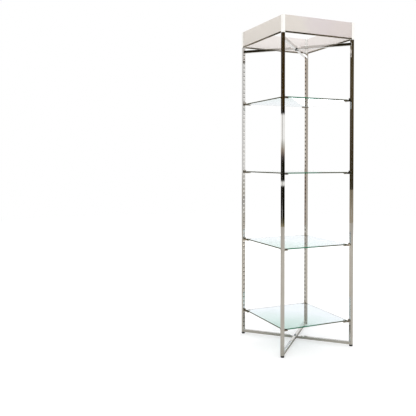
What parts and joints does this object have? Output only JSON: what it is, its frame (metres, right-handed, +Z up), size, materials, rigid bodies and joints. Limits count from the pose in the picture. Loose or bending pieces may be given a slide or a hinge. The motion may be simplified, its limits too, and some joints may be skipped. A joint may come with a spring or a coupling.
{
  "type": "glass shelving tower",
  "caption": "Square open display tower: slotted chromed posts on crossed base and top arms, clear glass shelves on corner clips, levelling feet and a low panelled canopy.",
  "frame": {"origin": "on the floor, midway between the four posts", "axes": "+Z up; +X from the front post to the right post, +Y from the front post to the left post"},
  "size_m": [0.469, 0.469, 1.8151],
  "materials": {
    "chromed_post": "polished chrome plate on square steel tube",
    "chromed_arm": "polished chrome plate on square steel tube",
    "nickel_clip": "bright nickel plate on folded steel sheet",
    "zinc_bolt": "zinc-plated steel",
    "blackened_nut": "blackened steel",
    "dark_chrome_rail": "dark polished chrome",
    "clear_glass": "clear float glass with green ground edges",
    "black_foot": "moulded black nylon",
    "black_insert": "moulded black plastic",
    "grey_plug": "moulded grey plastic",
    "white_canopy_post": "white satin",
    "pale_panel": "pale translucent sheet, satin"
  },
  "bodies": {
    "frame_a": {"post_left": "chromed_post", "post_right": "chromed_post", "foot_insert_left": "black_insert", "post_top_plug_left": "grey_plug", "shelf_1_clip_left": "nickel_clip", "shelf_2_clip_left": "nickel_clip", "shelf_3_clip_left": "nickel_clip", "shelf_4_clip_left": "nickel_clip", "foot_insert_right": "black_insert", "post_top_plug_right": "grey_plug", "shelf_1_clip_right": "nickel_clip", "shelf_2_clip_right": "nickel_clip", "shelf_3_clip_right": "nickel_clip", "shelf_4_clip_right": "nickel_clip", "base_arm_left_right": "chromed_arm", "base_pivot_bolt": "zinc_bolt", "base_pivot_washer": "zinc_bolt", "base_pivot_sleeve": "zinc_bolt", "base_pivot_nut": "blackened_nut", "top_arm_left_right": "chromed_arm", "top_pivot_bolt": "zinc_bolt", "top_pivot_washer": "zinc_bolt", "top_pivot_sleeve": "zinc_bolt", "top_pivot_nut": "blackened_nut"},
    "frame_b": {"post_front": "chromed_post", "post_rear": "chromed_post", "foot_insert_front": "black_insert", "post_top_plug_front": "grey_plug", "shelf_1_clip_front": "nickel_clip", "shelf_2_clip_front": "nickel_clip", "shelf_3_clip_front": "nickel_clip", "shelf_4_clip_front": "nickel_clip", "foot_insert_rear": "black_insert", "post_top_plug_rear": "grey_plug", "shelf_1_clip_rear": "nickel_clip", "shelf_2_clip_rear": "nickel_clip", "shelf_3_clip_rear": "nickel_clip", "shelf_4_clip_rear": "nickel_clip", "base_arm_front_rear": "chromed_arm", "top_arm_front_rear": "chromed_arm"},
    "shelf_1": {"glass_shelf_1": "clear_glass"},
    "shelf_2": {"glass_shelf_2": "clear_glass"},
    "shelf_3": {"glass_shelf_3": "clear_glass"},
    "shelf_4": {"glass_shelf_4": "clear_glass"},
    "canopy": {"canopy_post_front": "white_canopy_post", "canopy_post_right": "white_canopy_post", "canopy_post_rear": "white_canopy_post", "canopy_post_left": "white_canopy_post", "canopy_panel_front_right": "pale_panel", "canopy_panel_right_rear": "pale_panel", "canopy_panel_rear_left": "pale_panel", "canopy_panel_left_front": "pale_panel", "canopy_rail_front_right": "dark_chrome_rail", "canopy_rail_right_rear": "dark_chrome_rail", "canopy_rail_rear_left": "dark_chrome_rail", "canopy_rail_left_front": "dark_chrome_rail"},
    "foot_front": {"levelling_foot_front": "black_foot"},
    "foot_right": {"levelling_foot_right": "black_foot"},
    "foot_rear": {"levelling_foot_rear": "black_foot"},
    "foot_left": {"levelling_foot_left": "black_foot"}
  },
  "joints": [
    {"name": "frame_fold", "type": "hinge", "parent": "frame_a", "child": "frame_b", "pos_m": [0, 0, 0], "axis": [0, 0, 1], "range_deg": [-60, 60]},
    {"name": "shelf_1_lift", "type": "slide", "parent": "frame_a", "child": "shelf_1", "axis": [0, 0, 1], "range_m": [0, 0.08]},
    {"name": "shelf_2_lift", "type": "slide", "parent": "frame_a", "child": "shelf_2", "axis": [0, 0, 1], "range_m": [0, 0.08]},
    {"name": "shelf_3_lift", "type": "slide", "parent": "frame_a", "child": "shelf_3", "axis": [0, 0, 1], "range_m": [0, 0.08]},
    {"name": "shelf_4_lift", "type": "slide", "parent": "frame_a", "child": "shelf_4", "axis": [0, 0, 1], "range_m": [0, 0.08]},
    {"name": "canopy_lift", "type": "slide", "parent": "frame_a", "child": "canopy", "axis": [0, 0, 1], "range_m": [0, 0.06]},
    {"name": "foot_front_turn", "type": "hinge", "parent": "frame_b", "child": "foot_front", "pos_m": [-0.2245, -0.2245, 0], "axis": [0, 0, 1], "continuous": true},
    {"name": "foot_right_turn", "type": "hinge", "parent": "frame_a", "child": "foot_right", "pos_m": [0.2245, -0.2245, 0], "axis": [0, 0, 1], "continuous": true},
    {"name": "foot_rear_turn", "type": "hinge", "parent": "frame_b", "child": "foot_rear", "pos_m": [0.2245, 0.2245, 0], "axis": [0, 0, 1], "continuous": true},
    {"name": "foot_left_turn", "type": "hinge", "parent": "frame_a", "child": "foot_left", "pos_m": [-0.2245, 0.2245, 0], "axis": [0, 0, 1], "continuous": true}
  ]
}
